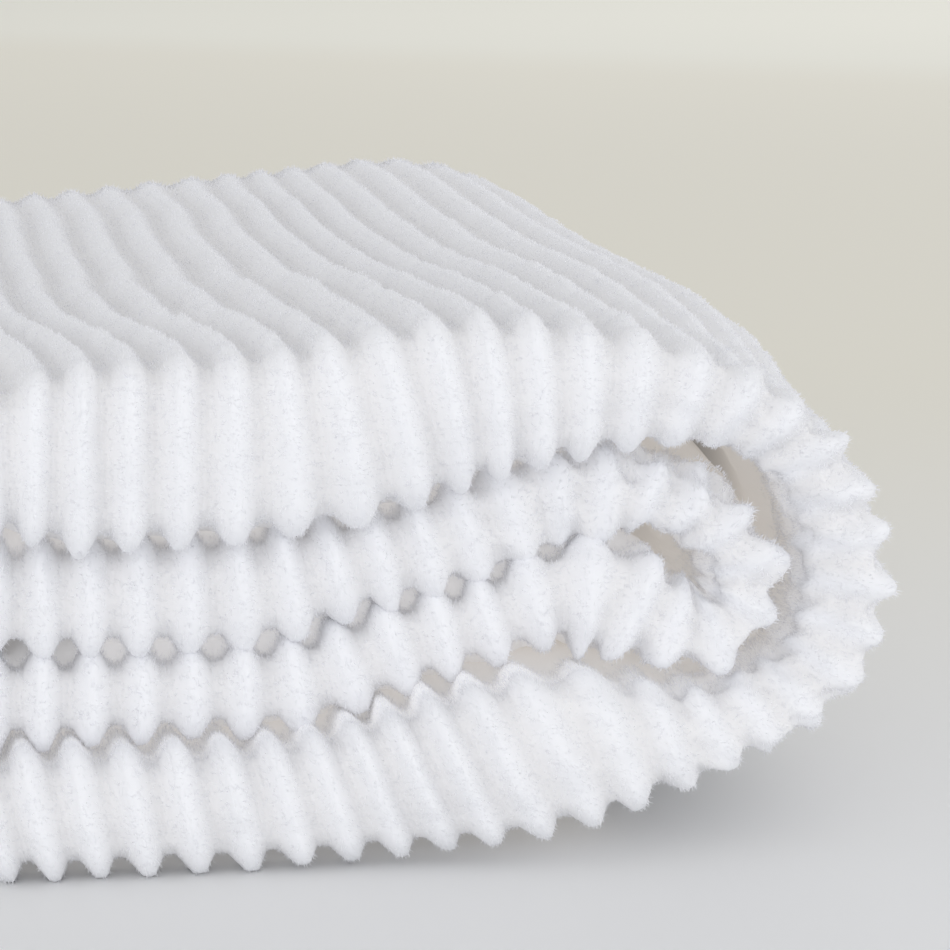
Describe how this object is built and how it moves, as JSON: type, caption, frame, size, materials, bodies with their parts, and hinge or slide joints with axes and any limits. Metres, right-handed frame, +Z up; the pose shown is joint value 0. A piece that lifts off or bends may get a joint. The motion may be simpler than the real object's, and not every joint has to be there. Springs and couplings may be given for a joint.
{
  "type": "folded ribbed plush cloth",
  "caption": "White ribbed plush cloth, doubled across its ribs and folded again into a soft flat stack that lies on a table.",
  "frame": {"origin": "middle of the underside, on the surface that the cloth lies on", "axes": "+X along the front edge towards the rounded wrap, +Y from the front edge to the back along the ribs, +Z up"},
  "size_m": [0.1182, 0.21, 0.0587],
  "materials": {
    "plush": "white polyester pile, fluffy and matt, with raised ribs"
  },
  "bodies": {
    "root": {"cloth": "plush"}
  },
  "joints": []
}
